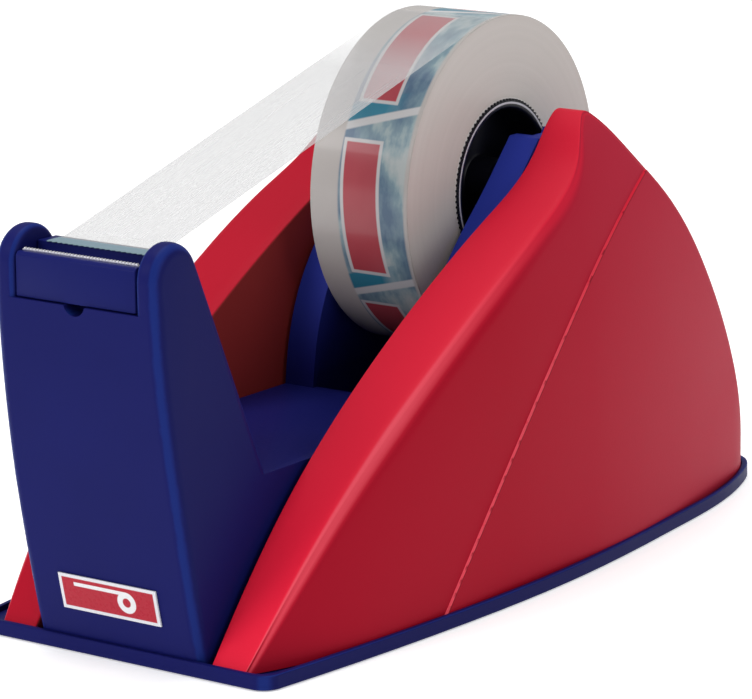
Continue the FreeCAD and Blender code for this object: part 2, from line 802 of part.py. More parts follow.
def write_all():
    """One STEP file per sub-part, with a line about each."""
    os.makedirs("parts", exist_ok=True)
    for part in made:
        part.Shape.exportStep("parts/%s.step" % part.Label)
        box = part.Shape.BoundBox
        print("%-18s solids %2d  volume %9.1f  x %6.1f..%5.1f  y %6.1f..%5.1f  z %5.1f..%4.1f" % (
            part.Label, len(part.Shape.Solids), part.Shape.Volume,
            box.XMin, box.XMax, box.YMin, box.YMax, box.ZMin, box.ZMax))


make_tray()
make_pad()
make_fins()
make_body()
make_rests()
make_weights()
make_carrier()
make_blade()
make_badge()
make_roll()
make_hub()
make_axle()
make_washers()
make_web()
make_screws()
check_all()
write_all()
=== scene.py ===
# %% [markdown]
# # A weighted tape dispenser in Blender
# This file dresses a finished engineering model of a desk tape dispenser. The model arrives as a
# fixed frame: every solid sits in its place, in metres, with X across the dispenser, Y from the
# cutter to the rear and Z up. We keep those sizes and give each visible part its real finish.

# %% Load the frame
import bpy
import bmesh
import math
import numpy as np
from mathutils import Matrix, Vector


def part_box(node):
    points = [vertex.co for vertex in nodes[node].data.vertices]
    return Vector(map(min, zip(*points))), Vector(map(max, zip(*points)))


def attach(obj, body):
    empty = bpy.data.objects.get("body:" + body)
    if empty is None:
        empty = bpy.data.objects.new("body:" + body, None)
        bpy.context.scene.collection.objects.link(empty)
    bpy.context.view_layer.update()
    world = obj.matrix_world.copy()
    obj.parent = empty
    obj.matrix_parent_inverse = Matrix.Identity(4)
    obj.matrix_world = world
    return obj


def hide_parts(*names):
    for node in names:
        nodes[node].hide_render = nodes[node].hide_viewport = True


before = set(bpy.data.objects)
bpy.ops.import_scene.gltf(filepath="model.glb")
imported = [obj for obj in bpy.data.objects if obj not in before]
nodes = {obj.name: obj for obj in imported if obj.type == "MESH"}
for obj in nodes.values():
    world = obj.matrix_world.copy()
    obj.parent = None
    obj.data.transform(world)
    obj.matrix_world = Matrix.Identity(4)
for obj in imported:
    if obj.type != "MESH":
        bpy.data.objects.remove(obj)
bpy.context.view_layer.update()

MM = 0.001

# %% [markdown]
# ## Places that many parts share
# Sizes are read from the frame wherever a part of it can tell them, so that the pieces made here
# always meet the ones that stay. The roll's axis, for instance, is the middle of its core's box, and
# lengths along the base are counted from a plane just ahead of its front edge.

# %% Shared places
core_low, core_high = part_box("tape_core")
axis_y = (core_low.y + core_high.y) / 2
axis_z = (core_low.z + core_high.z) / 2
roll_low, roll_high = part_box("printed_wrap")
roll_radius = (roll_high.z - roll_low.z) / 2
roll_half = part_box("tape_winding")[1].x
front_plane_to_rear = 154.0 * MM
front_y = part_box("base_tray")[1].y - front_plane_to_rear
fin_inner_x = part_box("right_fin")[0].x
print("roll axis at", round(axis_y, 4), round(axis_z, 4), "radius", round(roll_radius, 4))

# %% [markdown]
# ## Camera
# A long lens from about two thirds of a metre away keeps the perspective gentle, as in a product
# shot. The camera stands in front of the cutter, to the right and a little above. It is set by its
# place, direction and a small shift, so that the framing can be tuned in one place.

# %% Camera
camera_data = bpy.data.cameras.new("camera")
camera = bpy.data.objects.new("camera", camera_data)
bpy.context.scene.collection.objects.link(camera)
camera_data.lens = 191.54
camera_data.sensor_width = 36.0
camera_data.shift_x = -0.0441
camera_data.shift_y = -0.0036
camera_data.clip_start = 0.01
camera_data.clip_end = 20.0
azimuth = math.radians(34.81)
elevation = math.radians(13.04)
tilt = math.radians(-0.13)
back = Vector((math.sin(azimuth) * math.cos(elevation),
               -math.cos(azimuth) * math.cos(elevation),
               math.sin(elevation)))
right = Vector((math.cos(azimuth), math.sin(azimuth), 0.0))
up = back.cross(right)
right_rolled = right * math.cos(tilt) + up * math.sin(tilt)
up_rolled = up * math.cos(tilt) - right * math.sin(tilt)
turn = Matrix((right_rolled, up_rolled, back)).transposed()
camera.rotation_mode = "QUATERNION"
camera.rotation_quaternion = turn.to_quaternion()
camera.location = Vector((0.36521, -0.52010, 0.18199))
bpy.context.scene.camera = camera
print("camera", [round(v, 3) for v in camera.location])

# %% [markdown]
# ## Light and floor
# Shiny plastic looks best under big soft lamps: a wide one overhead, a key from the front left
# and a weaker fill from the right. The floor is a plain white sheet a hair below the pad. The view
# is set to the plain display curve, which bends colours least. The floor glows a little to stay white.

# %% Light and floor
def soft_lamp(name, place, aim, size, watts, colour=(1.0, 1.0, 1.0)):
    """A square area lamp that looks at a point."""
    data = bpy.data.lights.new(name, "AREA")
    data.size = size
    data.energy = watts
    data.color = colour
    lamp = bpy.data.objects.new(name, data)
    bpy.context.scene.collection.objects.link(lamp)
    lamp.location = place
    lamp.rotation_mode = "QUATERNION"
    lamp.rotation_quaternion = (Vector(aim) - Vector(place)).to_track_quat("-Z", "Y")
    return lamp


soft_lamp("overhead", (-0.10, 0.05, 0.95), (0, 0, 0.03), 0.8, 5.5)
soft_lamp("key", (-0.45, -0.85, 0.60), (0, 0, 0.04), 0.45, 3.2)
soft_lamp("fill", (0.90, -0.10, 0.50), (0, 0, 0.04), 0.6, 2.4)
world = bpy.data.worlds.new("studio")
bpy.context.scene.world = world
world.use_nodes = True
world.node_tree.nodes["Background"].inputs["Color"].default_value = (1, 1, 1, 1)
world.node_tree.nodes["Background"].inputs["Strength"].default_value = 0.46
bpy.context.scene.view_settings.view_transform = "Standard"

floor_mesh = bpy.data.meshes.new("floor")
floor_z = -0.05 * MM
floor_mesh.from_pydata([(-4, -4, floor_z), (4, -4, floor_z), (4, 4, floor_z), (-4, 4, floor_z)],
                       [], [(0, 1, 2, 3)])
floor = bpy.data.objects.new("floor", floor_mesh)
bpy.context.scene.collection.objects.link(floor)
print("lamps and floor ready")

# %% [markdown]
# ## Shader maths as Python
# A material's node graph is easier to read as an expression. `Value` wraps one output socket, and
# its operators add Math nodes behind the scenes. `Graph` makes any other node in one call.

# %% Shader maths
class Value:
    """One number flowing through a material; arithmetic on it adds Math nodes."""

    def __init__(self, graph, socket):
        self.graph = graph
        self.socket = socket

    def maths(self, operation, *others):
        node = self.graph.tree.nodes.new("ShaderNodeMath")
        node.operation = operation
        for index, item in enumerate((self,) + others):
            self.graph.feed(node.inputs[index], item)
        return Value(self.graph, node.outputs[0])

    def __add__(self, other):
        return self.maths("ADD", other)

    __radd__ = __add__

    def __mul__(self, other):
        return self.maths("MULTIPLY", other)

    __rmul__ = __mul__

    def __sub__(self, other):
        return self.maths("SUBTRACT", other)

    def __rsub__(self, other):
        return (self * -1.0) + other

    def __truediv__(self, other):
        return self.maths("DIVIDE", other)

    def above(self, edge, width=0.0):
        """0 below an edge and 1 above it, with a soft step of a given width."""
        if width == 0.0:
            return self.maths("GREATER_THAN", edge)
        return ((self - edge) / width + 0.5).clamped()

    def within(self, half, width=0.0):
        """1 nearer to zero than a half width and 0 beyond it, with a soft step."""
        return 1 - self.size().above(half, width)

    def clamped(self):
        return self.maths("MAXIMUM", 0.0).maths("MINIMUM", 1.0)

    def size(self):
        return self.maths("ABSOLUTE")


class Graph:
    """A material's node tree with one Principled shader."""

    def __init__(self, name, **constants):
        self.material = bpy.data.materials.new(name)
        self.material.use_nodes = True
        self.tree = self.material.node_tree
        self.shader = self.tree.nodes["Principled BSDF"]
        for socket, value in constants.items():
            self.shader.inputs[socket.replace("_", " ")].default_value = value

    def feed(self, socket, item):
        if isinstance(item, Value):
            self.tree.links.new(item.socket, socket)
        elif isinstance(item, bpy.types.NodeSocket):
            self.tree.links.new(item, socket)
        else:
            socket.default_value = item

    def node(self, kind, settings=None, **inputs):
        """Any node: its settings first, then the values or links of its sockets."""
        node = self.tree.nodes.new(kind)
        for name, setting in (settings or {}).items():
            setattr(node, name, setting)
        for name, item in inputs.items():
            self.feed(node.inputs[name.replace("_", " ")], item)
        return node

    def place(self):
        """Object coordinates, which are metres in the frame."""
        return self.node("ShaderNodeTexCoord").outputs["Object"]

    def axes(self, vector):
        """The three numbers of a vector."""
        split = self.node("ShaderNodeSeparateXYZ", Vector=vector)
        return [Value(self, split.outputs[i]) for i in range(3)]

    def vector(self, x, y, z):
        joined = self.node("ShaderNodeCombineXYZ", X=x, Y=y, Z=z)
        return joined.outputs[0]

    def noise(self, vector, scale, detail=3.0, roughness=0.5):
        node = self.node("ShaderNodeTexNoise", Vector=vector, Scale=scale, Detail=detail,
                         Roughness=roughness)
        return Value(self, node.outputs["Fac"])

    def blend(self, factor, first, second):
        """Mix of two colours."""
        node = self.tree.nodes.new("ShaderNodeMix")
        node.data_type = "RGBA"
        self.feed(node.inputs[0], factor)
        self.feed(node.inputs[6], first)
        self.feed(node.inputs[7], second)
        return node.outputs[2]

    def set(self, socket, item):
        self.feed(self.shader.inputs[socket], item)

    def bump(self, height, distance, strength=1.0):
        node = self.node("ShaderNodeBump", Height=height, Distance=distance, Strength=strength)
        self.set("Normal", node.outputs[0])


# %% [markdown]
# ## Moulded plastic
# A moulded face is rarely one flat colour, so this finish has a fine grain, faint clouds and a
# slightly uneven gloss. One function makes it for every plastic here, with its colour, gloss and
# grain as numbers. The grain's size, about a third of a millimetre, is a guess. The big shells and
# the tower have a specular level far below real plastic's, because the lamps washed them out.
# The tower gets three more tints: darker flanks, clearer blue edges and lighter arms beside the
# roll. They stand in for light and shade that these lamps don't give, and aren't other plastics.

# %% Moulded plastic
def sideways_of(graph):
    """How far a face looks to the side: 0 for front, top and back, 1 for a flank."""
    return graph.axes(graph.node("ShaderNodeNewGeometry").outputs["Normal"])[0].size()


def tower_painted_light(graph, tone, colour, lit_arm_colour):
    """Painted shade on flanks, a painted edge highlight and painted light on the arms, over the tower's
    tone.
    """
    x, y, z = graph.axes(graph.place())
    sideways = sideways_of(graph)
    # Painted shade on the flanks.
    shaded_flank_colour = tuple(c * 0.72 for c in colour) + (1,)
    tone = graph.blend(sideways.above(0.85, 0.2), tone, shaded_flank_colour)
    # A painted highlight along the rounded edges.
    edge = sideways.above(0.32, 0.2) * (1 - sideways.above(0.80, 0.2)) * 0.45
    tone = graph.blend(edge, tone, (0.010, 0.034, 0.210, 1))
    # Painted light on the arms beside the roll.
    behind_front = y.above(axis_y - 30 * MM, 12 * MM)
    before_back = 1 - y.above(axis_y + 22 * MM, 12 * MM)
    high_up = z.above(axis_z - 20 * MM, 20 * MM)
    return graph.blend(behind_front * before_back * high_up, tone, lit_arm_colour + (1,))


def moulded(name, colour, roughness=0.4, grain=0.03, pitch=0.35, mottle=0.06, arms=None, **more):
    """Satin plastic; grain height and pitch in millimetres, and painted light for the arms if it has any.
    """
    graph = Graph(name, Roughness=roughness, **more)
    place = graph.place()
    fine = graph.noise(place, 1.0 / (pitch * MM), 2.0)
    cloud = graph.noise(place, 55.0, 3.0)
    dark = tuple(c * (1 - mottle) for c in colour) + (1,)
    light = tuple(min(1.0, c * (1 + mottle)) for c in colour) + (1,)
    tone = graph.blend(cloud, dark, light)
    if arms:
        tone = tower_painted_light(graph, tone, colour, arms)
    graph.set("Base Color", tone)
    graph.set("Roughness", roughness + (cloud - 0.5) * 0.10 + (fine - 0.5) * 0.10)
    graph.bump(fine, grain * MM, 0.5)
    return graph.material


floor.data.materials.append(moulded("floor_paint", (0.96, 0.96, 0.96), 0.7, 0.0, 5.0, 0.0,
                                    Emission_Color=(1, 1, 1, 1), Emission_Strength=0.35))
# The arms' colour below is painted light.
blue = moulded("blue_moulding", (0.0075, 0.0094, 0.100), 0.42, 0.02, 0.30, 0.10,
               arms=(0.024, 0.038, 0.300), Specular_IOR_Level=0.05)
head_blue = moulded("head_moulding", (0.0075, 0.0105, 0.106), 0.38, 0.015, 0.30, Specular_IOR_Level=0.06)
dark_hub = moulded("hub_moulding", (0.0035, 0.0037, 0.0080), 0.36, 0.015, 0.4, Specular_IOR_Level=0.20)
liner = moulded("slippery_liner", (0.012, 0.016, 0.120), 0.30, 0.01, 0.4)
core_grey = moulded("core_moulding", (0.52, 0.50, 0.49), 0.42, 0.02, 0.5)
print("plastics ready")

# %% [markdown]
# ## Red side shells: colour
# Both shells are taken to be one red plastic, and their tints, besides faint clouds, are painted light
# and shade: a lit clear red band along the edge, a shaded darker side with a painted sheen that grows
# lighter to the rear and the top, a painted highlight low on the crease, painted shade on the
# brownish wall towards the roll and a painted shadow along the shallow step. The left shell's band
# is painted deeper, as shade. What causes these tones on a real dispenser isn't known. The band is
# told from the side by the direction its faces look in.

# %% Red shell finish
step_normal = Vector((0.897, 0.332, -0.292)).normalized()
step_place = Vector((30.39 * MM, 75.47 * MM + front_y, 34.86 * MM))
step_width = 0.12 * MM


def band_tone(graph, x, z):
    """The band: brightest at the foot as painted light, and deeper on the left shell as painted shade."""
    # The foot's red is painted light and the left shell's red is painted shade.
    lit_foot_red, high_red, shaded_left_red = (0.80, 0.016, 0.047, 1), (0.54, 0.011, 0.032, 1), (0.40, 0.005, 0.020, 1)
    band = graph.blend(z.above(35 * MM, 50 * MM), lit_foot_red, high_red)
    return graph.blend((1 - x.above(0.0, 2 * MM)) * 0.9, band, shaded_left_red)


def flank_tone(graph, x, y, z, cloud, inner_wall):
    """The side: shaded crimson with faint clouds, painted sheen to rear and top, painted shade on the
    wall.
    """
    speck = (cloud - 0.5) * 0.35 + 0.5
    # The side's crimson is the shaded copy of the red.
    flank = graph.blend(speck, (0.280, 0.0026, 0.012, 1), (0.320, 0.0038, 0.019, 1))
    # A painted sheen towards the rear and the top.
    painted_sheen = ((y + 13 * MM) / (75 * MM) + (z - 45 * MM).clamped() * 12.0).clamped()
    flank = graph.blend(painted_sheen, flank, (0.360, 0.016, 0.038, 1))
    # The inner wall's brownish red is painted shade.
    return graph.blend(inner_wall, flank, (0.20, 0.020, 0.020, 1))


def shell_red():
    """Red band and crimson side, painted with light and shade, with a fine grain."""
    graph = Graph("shell_red", Roughness=0.42, Specular_IOR_Level=0.05)
    place = graph.place()
    x, y, z = graph.axes(place)
    sideways = sideways_of(graph)
    on_side = sideways.above(0.72, 0.35)
    fine = graph.noise(place, 3200.0, 2.0)
    cloud = graph.noise(place, 42.0, 3.0)
    inner_wall = 1 - x.size().above(fin_inner_x + 1.1 * MM, 0.8 * MM)
    # A lit band and a shaded side.
    tone = graph.blend(on_side, band_tone(graph, x, z), flank_tone(graph, x, y, z, cloud, inner_wall))
    # A painted highlight low on the crease.
    crease_highlight = sideways.above(0.35, 0.2) * (1 - sideways.above(0.72, 0.2)) * (1 - z.above(46 * MM, 24 * MM))
    outside = x.size().above(fin_inner_x + 1.6 * MM, 0.5 * MM)
    tone = graph.blend(crease_highlight * outside * 0.45, tone, (0.76, 0.15, 0.19, 1))
    # A painted shadow along the shallow step.
    step_middle = step_place.dot(step_normal) - step_width / 2
    from_step = x.size() * step_normal.x + y * step_normal.y + z * step_normal.z - step_middle
    step_shadow = from_step.within(0.16 * MM, 0.1 * MM) * on_side * (1 - inner_wall) * 0.8
    tone = graph.blend(step_shadow, tone, (0.15, 0.002, 0.008, 1))
    graph.set("Base Color", tone)
    graph.set("Roughness", 0.40 + on_side * 0.06 + (cloud - 0.5) * 0.12 + (fine - 0.5) * 0.10)
    graph.bump(fine, 0.03 * MM, 0.5)
    return graph.material


red = shell_red()
print("red ready")

# %% [markdown]
# ## Metals, foam and iron
# The blade is bright strip steel with fine lines along its length, and the screws are plain steel.
# The weights are rough iron and the pad is foam. The weights, screws and pad are out of sight, so
# their finishes are guesses.

# %% Metals, foam and iron
def ground_steel(name, tint, roughness, stretch):
    """Steel whose grinding lines run along the axis that is stretched least."""
    graph = Graph(name, Metallic=1.0)
    x, y, z = graph.axes(graph.place())
    lines = graph.noise(graph.vector(x * stretch[0], y * stretch[1], z * stretch[2]), 1.0, 4.0)
    dark = tuple(c * 0.86 for c in tint) + (1,)
    graph.set("Base Color", graph.blend(lines, dark, tint + (1,)))
    graph.set("Roughness", roughness + (lines - 0.5) * 0.18)
    graph.bump(lines, 0.01 * MM, 0.4)
    return graph.material


blade_steel = ground_steel("blade_steel", (0.80, 0.79, 0.84), 0.30, (200.0, 9000.0, 9000.0))
pin_steel = ground_steel("pin_steel", (0.60, 0.60, 0.62), 0.28, (9000.0, 300.0, 300.0))
foam = moulded("pad_foam", (0.018, 0.018, 0.020), 0.85, 0.12, 0.8, 0.3)
iron = moulded("cast_weight", (0.05, 0.05, 0.052), 0.65, 0.2, 2.5, 0.2, Metallic=0.6)
print("metals ready")

# %% [markdown]
# ## Smooth curves from a few points
# The shells' edges are long free curves. A few points and a curve that bends as evenly as a draughtsman's
# spline describe them best: between points it is a cubic, and its slope and bend never jump.

# %% Smooth curves
def even_curve(points, start, end, count):
    """Points at even steps on the smooth curve through some points, with given end directions."""
    knots = np.array(points, float)
    gaps = np.linalg.norm(np.diff(knots, axis=0), axis=1)
    total = len(knots)
    table = np.zeros((total, total))
    rhs = np.zeros((total, 2))
    table[0, 0] = table[-1, -1] = 1.0
    rhs[0] = np.array(start) / np.linalg.norm(start)
    rhs[-1] = np.array(end) / np.linalg.norm(end)
    for i in range(1, total - 1):
        table[i, i - 1] = gaps[i]
        table[i, i] = 2 * (gaps[i - 1] + gaps[i])
        table[i, i + 1] = gaps[i - 1]
        rise_in = (knots[i] - knots[i - 1]) / gaps[i - 1]
        rise_out = (knots[i + 1] - knots[i]) / gaps[i]
        rhs[i] = 3 * (gaps[i] * rise_in + gaps[i - 1] * rise_out)
    slopes = np.linalg.solve(table, rhs)
    fine = []
    for i in range(total - 1):
        for t in np.linspace(0, 1, 60, endpoint=i == total - 2):
            a = knots[i] * (2 * t ** 3 - 3 * t ** 2 + 1) + knots[i + 1] * (3 * t ** 2 - 2 * t ** 3)
            b = slopes[i] * (t ** 3 - 2 * t ** 2 + t) + slopes[i + 1] * (t ** 3 - t ** 2)
            fine.append(a + b * gaps[i])
    fine = np.array(fine)
    run = np.concatenate([[0], np.cumsum(np.linalg.norm(np.diff(fine, axis=0), axis=1))])
    steps = np.linspace(0, run[-1], count)
    return np.stack([np.interp(steps, run, fine[:, k]) for k in range(2)], axis=1)


def add_piece(name, mesh, material, smooth_angle=40.0):
    """Put a mesh in the scene with one material, smooth except across sharp edges."""
    piece = bpy.data.objects.new(name, mesh)
    bpy.context.scene.collection.objects.link(piece)
    mesh.materials.clear()
    mesh.materials.append(material)
    if smooth_angle:
        mesh.shade_smooth()
        mesh.set_sharp_from_angle(angle=math.radians(smooth_angle))
    print(name, len(mesh.polygons), "faces")
    return piece


def hand_over(piece, body, slot_name, *stands_for):
    """Tell the frame which body carries a piece and hide the nodes it stands for; slot_name is not used.
    """
    if stands_for:
        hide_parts(*stands_for)
    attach(piece, body)


# %% [markdown]
# ## Red side shells: shape
# Each shell is a tall fin. From the side it rises in one sweep to a small round crest and falls to
# the rear. A flat band follows that edge, and a soft crease turns it into the bulging side. We build
# it as a grid: one station for every step along the edge, and in each station a row of points that
# runs across the band, round the crease and down the side. The side's distance from the middle is a
# rule of height and length, so it stays smooth everywhere.

# %% Side view of a shell
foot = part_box("right_fin")[0].z / MM
inner_side = fin_inner_x / MM
crest = Vector((96.7, 72.6))
front_points = [(2.3, 1.7), (21.4, 22.9), (46.6, 41.9), (76.3, 58.1), (89.6, 66.3), (95.2, 72.15)]
rear_points = [(98.2, 72.15), (106.5, 64.8), (117.1, 55.5), (129.8, 41.1), (138.7, 29.0), (147.7, 13.0),
               (152.5, 1.7)]
foot_way, crest_rise = (0.62, 0.78), (0.83, 0.55)
crest_fall, tail_way = (0.83, -0.55), (0.33, -0.94)
front_curve = even_curve(front_points, foot_way, crest_rise, 190)
rear_curve = even_curve(rear_points, crest_fall, tail_way, 150)
crest_curve = even_curve([front_points[-1], tuple(crest), rear_points[0]], crest_rise, crest_fall, 16)
lead_in = [front_curve[0] - np.array(foot_way) * s for s in (6.0, 4.5, 3.0, 1.5)]
lead_out = [rear_curve[-1] + np.array(tail_way) * s for s in (1.5, 3.0, 4.5)]
edge_line = np.concatenate([lead_in, front_curve, crest_curve[1:-1], rear_curve, lead_out])
print("stations", len(edge_line), "inner side", round(inner_side, 2))


# %% Side of a shell
foot_reach = 32.5
top_lean = 9.4
nose_cut = 8.8
under_foot = -9.0
inner_round = 0.4


def side_reach(y, z):
    """How far a shell's side stands from the middle plane, in millimetres."""
    share = max(0.0, (z - foot) / (crest.y - foot))
    lean = top_lean * (0.08 * share + 0.92 * share ** 5)
    behind = y - np.interp(z, front_curve[:, 1], front_curve[:, 0])
    nose = nose_cut * max(0.0, 1.0 - max(0.0, z - foot) / 56.0) ** 1.3 * math.exp(-behind / 17.0)
    tail = 2.2 * (max(0.0, y - 85.0) / 28.4) ** 1.7 + 3.0 * (max(0.0, y - 140.0) / 11.5) ** 3
    return foot_reach - lean - nose - tail


def crease_radius(y):
    """Roundness of the crease: crisp at the foot, soft on the flank, tight at the crest."""
    return float(np.interp(y, (2, 14, 34, 60, 84, 93, 100, 118, 155),
                           (0.8, 2.0, 3.3, 3.2, 2.2, 0.8, 0.8, 1.6, 2.4)))


def shell_rows():
    """Every station of a shell: inner wall, band, crease and side, as rows of points."""
    along = np.gradient(edge_line, axis=0)
    along /= np.linalg.norm(along, axis=1)[:, None]
    rows = []
    for (y, z), (ty, tz) in zip(edge_line, along):
        out = (-tz, ty)
        radius = crease_radius(y)
        row = [(inner_side, y, under_foot)]
        for turn in (0, 30, 60, 90):
            depth = inner_round * (1 - math.sin(math.radians(turn)))
            row.append((inner_side + inner_round * (1 - math.cos(math.radians(turn))),
                        y - out[0] * depth, z - out[1] * depth))
        reach = side_reach(y, z) - radius
        for share in (0.25, 0.5, 0.75):
            band_start = inner_side + inner_round
            row.append((band_start + (reach - band_start) * share, y, z))
        for step in range(11):
            turn = math.radians(9 * step)
            depth = radius * (1 - math.cos(turn))
            py, pz = y - out[0] * depth, z - out[1] * depth
            row.append((side_reach(py, pz) - radius * (1 - math.sin(turn)), py, pz))
        low_y, low_z = row[-1][1], row[-1][2]
        for share in np.linspace(0, 1, 34)[1:]:
            pz = low_z + (under_foot - low_z) * share
            row.append((side_reach(low_y, pz), low_y, pz))
        rows.append(row)
    return rows


rows = shell_rows()
print("rows of", len(rows[0]), "points")


# %% [markdown]
# A shallow step crosses the side on a slant: ahead of it the face lies a third of a millimetre
# lower. Two cuts through the finished grid give that step clean edges, and a cut at the foot
# gives the shell its flat bottom.

# %% Build the shells
def cut(mesh, place, normal, clear=False):
    """Cut a mesh along a plane, drop what is behind it if asked, and return the new edges."""
    everything = mesh.verts[:] + mesh.edges[:] + mesh.faces[:]
    found = bmesh.ops.bisect_plane(mesh, geom=everything, plane_co=place, plane_no=normal,
                                   clear_inner=clear, dist=1e-7)
    return [item for item in found["geom_cut"] if isinstance(item, bmesh.types.BMEdge)]


def set_back(mesh, place, normal, depth):
    """Lower what lies ahead of a plane by a small step with two clean edges."""
    crisp = cut(mesh, place, normal)
    second = place - normal * step_width
    crisp_too = cut(mesh, second, normal)
    mesh.normal_update()
    weights = {}
    for vert in mesh.verts:
        if (vert.co - second).dot(normal) < 0.001 * MM and vert.co.x > (inner_side + 2.5) * MM:
            weights[vert] = min(1.0, max(0.0, (abs(vert.normal.x) - 0.35) / 0.25))
    for edge in crisp + crisp_too:
        if edge.is_valid and max(weights.get(vert, 0.0) for vert in edge.verts) > 0.3:
            edge.smooth = False
    for edge in crisp:
        if edge.is_valid and abs(edge.verts[0].normal.x) > 0.5:
            edge.smooth = False
    for vert, weight in weights.items():
        vert.co.x -= depth * weight


def shell_mesh(name, mirrored):
    """A shell as a closed mesh, or its mirror image for the other side."""
    mesh = bmesh.new()
    grid = [[mesh.verts.new((x * MM, y * MM + front_y, z * MM)) for x, y, z in row] for row in rows]
    for left, right_row in zip(grid, grid[1:]):
        for k in range(len(left) - 1):
            mesh.faces.new((left[k], left[k + 1], right_row[k + 1], right_row[k]))
    bmesh.ops.recalc_face_normals(mesh, faces=mesh.faces)
    cut(mesh, (0, 0, foot * MM), (0, 0, 1), clear=True)
    rim = [edge for edge in mesh.edges if edge.is_boundary]
    bmesh.ops.holes_fill(mesh, edges=rim, sides=0)
    for face in mesh.faces:
        face.smooth = True
    for edge in mesh.edges:
        edge.smooth = edge.calc_face_angle(0.0) < math.radians(35)
    set_back(mesh, step_place, step_normal, 0.35 * MM)
    bmesh.ops.triangulate(mesh, faces=[face for face in mesh.faces if len(face.verts) > 4])
    if mirrored:
        for vert in mesh.verts:
            vert.co.x = -vert.co.x
    bmesh.ops.recalc_face_normals(mesh, faces=mesh.faces)
    if mesh.calc_volume(signed=True) < 0:
        bmesh.ops.reverse_faces(mesh, faces=mesh.faces)
    print(name, "open edges", sum(1 for edge in mesh.edges if edge.is_boundary),
          "volume ml", round(mesh.calc_volume() * 1e6, 1))
    data = bpy.data.meshes.new(name)
    mesh.to_mesh(data)
    mesh.free()
    return data


for side_name, mirrored in (("right", False), ("left", True)):
    shell = add_piece(side_name + "_shell", shell_mesh(side_name + "_shell", mirrored), red, None)
    hand_over(shell, "base", "red_plastic", side_name + "_fin")

# %% [markdown]
# ## Blue mouldings
# The tower with its deck and arms, the tray and the cutter head come from the engineering model
# as they are, but a moulded edge is never a knife edge. A copy of each is merged into one skin, its
# flat faces are joined, and a small bevel rounds every hard edge so that it catches the light.

# %% Blue mouldings
def softened(node, name, width, material, segments=3):
    """A merged copy of a CAD node with every hard edge rounded to a small radius."""
    mesh = bmesh.new()
    mesh.from_mesh(nodes[node].data)
    bmesh.ops.remove_doubles(mesh, verts=mesh.verts, dist=2e-6)
    bmesh.ops.dissolve_limit(mesh, angle_limit=math.radians(0.8), verts=mesh.verts, edges=mesh.edges)
    data = bpy.data.meshes.new(name)
    mesh.to_mesh(data)
    mesh.free()
    draft = bpy.data.objects.new(name + "_draft", data)
    bpy.context.scene.collection.objects.link(draft)
    bevel = draft.modifiers.new("edges", "BEVEL")
    bevel.width = width * MM
    bevel.segments = segments
    bevel.limit_method = "ANGLE"
    bevel.angle_limit = math.radians(32)
    bevel.miter_outer = "MITER_ARC"
    bevel.use_clamp_overlap = True
    even = draft.modifiers.new("shading", "WEIGHTED_NORMAL")
    even.keep_sharp = True
    depsgraph = bpy.context.evaluated_depsgraph_get()
    final = bpy.data.meshes.new_from_object(draft.evaluated_get(depsgraph))
    final.name = name
    bpy.data.objects.remove(draft)
    return add_piece(name, final, material, 44.0)


tower = softened("centre_body", "tower_and_arms", 0.28, blue)
hand_over(tower, "base", "blue_plastic", "centre_body")
tray = softened("base_tray", "tray", 0.25, blue)
hand_over(tray, "base", "blue_plastic", "base_tray")
insert = softened("cutter_head", "cutter_insert", 0.14, head_blue, 2)
hand_over(insert, "cutter", "head_plastic", "cutter_head")

# %% [markdown]
# ## Repeats round an axis
# The hub's lip carries a ring of small grip teeth. Geometry Nodes put one tooth on every
# point of a circle and turn each to face outwards, so the number and the radius stay adjustable.

# %% Ring of copies
def ring_tree():
    """Node tree that stands its input shape on a circle, facing outwards."""
    tree = bpy.data.node_groups.new("ring_of_copies", "GeometryNodeTree")
    tree.is_modifier = True
    faces_in = tree.interface
    faces_in.new_socket("Geometry", in_out="INPUT", socket_type="NodeSocketGeometry")
    faces_in.new_socket("Count", in_out="INPUT", socket_type="NodeSocketInt")
    faces_in.new_socket("Radius", in_out="INPUT", socket_type="NodeSocketFloat")
    faces_in.new_socket("Finish", in_out="INPUT", socket_type="NodeSocketMaterial")
    faces_in.new_socket("Geometry", in_out="OUTPUT", socket_type="NodeSocketGeometry")
    start = tree.nodes.new("NodeGroupInput")
    end = tree.nodes.new("NodeGroupOutput")
    circle = tree.nodes.new("GeometryNodeMeshCircle")
    position = tree.nodes.new("GeometryNodeInputPosition")
    turn_out = tree.nodes.new("FunctionNodeAlignRotationToVector")
    turn_out.axis = "X"
    turn_out.pivot_axis = "Z"
    copies = tree.nodes.new("GeometryNodeInstanceOnPoints")
    real = tree.nodes.new("GeometryNodeRealizeInstances")
    paint = tree.nodes.new("GeometryNodeSetMaterial")
    link = tree.links.new
    link(start.outputs["Count"], circle.inputs["Vertices"])
    link(start.outputs["Radius"], circle.inputs["Radius"])
    link(circle.outputs["Mesh"], copies.inputs["Points"])
    link(start.outputs["Geometry"], copies.inputs["Instance"])
    link(position.outputs[0], turn_out.inputs["Vector"])
    link(turn_out.outputs[0], copies.inputs["Rotation"])
    link(copies.outputs["Instances"], real.inputs["Geometry"])
    link(real.outputs["Geometry"], paint.inputs["Geometry"])
    link(start.outputs["Finish"], paint.inputs["Material"])
    link(paint.outputs["Geometry"], end.inputs["Geometry"])
    return tree


ring_nodes = ring_tree()
ring_inputs = {item.name: item.identifier for item in ring_nodes.interface.items_tree
               if item.in_out == "INPUT"}


